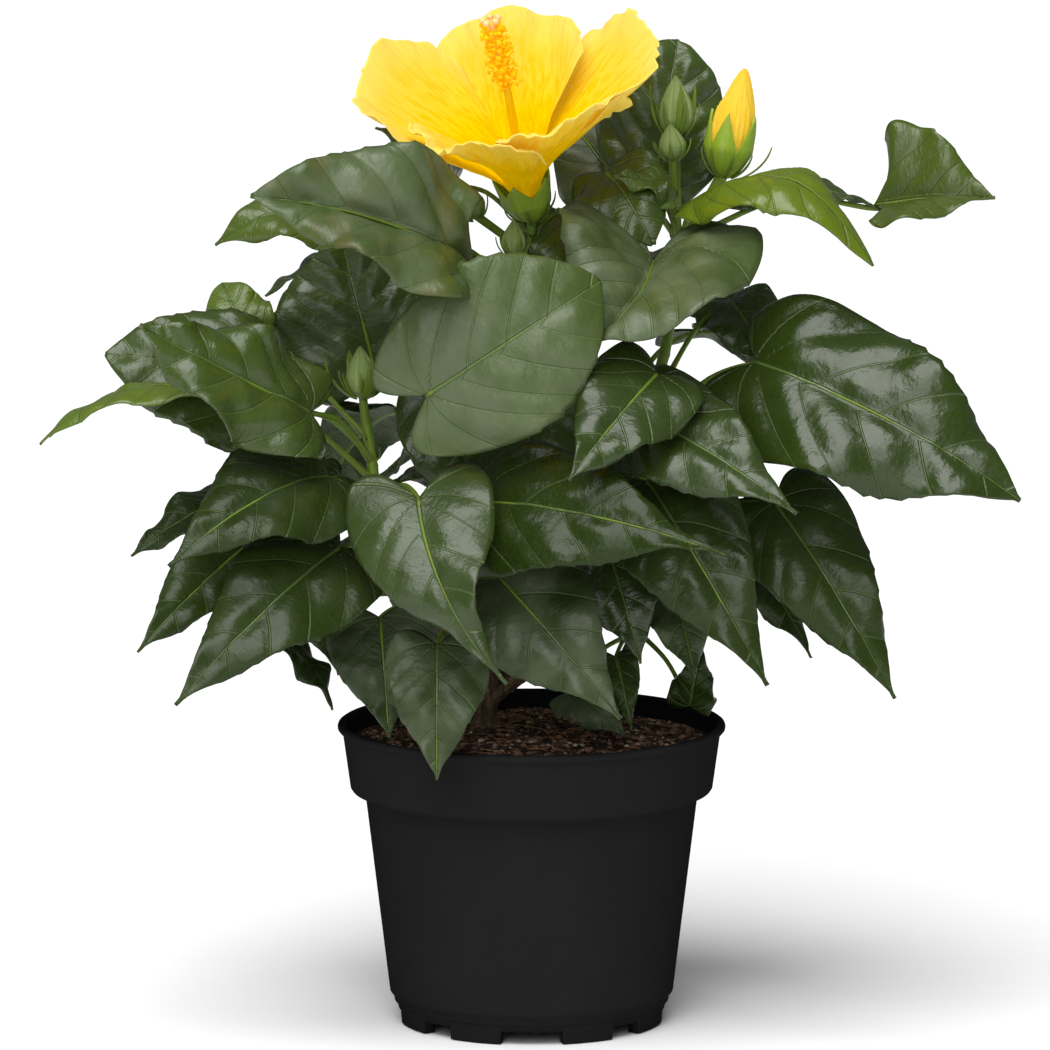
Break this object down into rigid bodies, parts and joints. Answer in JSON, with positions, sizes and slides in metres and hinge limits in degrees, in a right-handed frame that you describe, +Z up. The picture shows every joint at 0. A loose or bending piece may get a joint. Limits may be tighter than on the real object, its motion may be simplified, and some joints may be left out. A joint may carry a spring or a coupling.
{
  "type": "potted hibiscus shrub",
  "caption": "Small flowering shrub in a round nursery pot: short woody trunk, boughs, leafy shoots, buds and a wide open funnel-shaped bloom.",
  "frame": {"origin": "middle of the pot's underside, on the surface that it stands on", "axes": "+Z up along the pot's axis, -Y the side that the bloom opens to, +X to its right seen from there"},
  "size_m": [0.3221, 0.1967, 0.3399],
  "materials": {
    "pot": "moulded black plastic with a soft sheen",
    "soil": "loose fibrous potting soil",
    "bark": "thin brown-green bark",
    "leaf": "glossy dark green leaf with paler veins",
    "petal": "thin satin yellow petal with fine veins",
    "anther": "orange-yellow pollen grains on a yellow column"
  },
  "bodies": {
    "root": {"pot": "pot", "soil": "soil", "trunk": "bark", "second_stem": "bark", "bough_bloom": "bark", "bough_left": "bark", "bough_right": "bark", "bough_front": "bark", "bough_right_low": "bark", "bough_left_low": "bark", "bough_back_left": "bark", "bough_back_right": "bark", "bough_back": "bark", "bloom_petals": "petal", "bloom_column": "anther", "opening_bud": "petal", "shoot_bloom": "leaf", "shoot_buds": "leaf", "shoot_left": "leaf", "shoot_left_low": "leaf", "shoot_right": "leaf", "shoot_front": "leaf", "shoot_right_low": "leaf", "shoot_back_left": "leaf", "shoot_back_right": "leaf", "shoot_back_low": "leaf"}
  },
  "joints": []
}
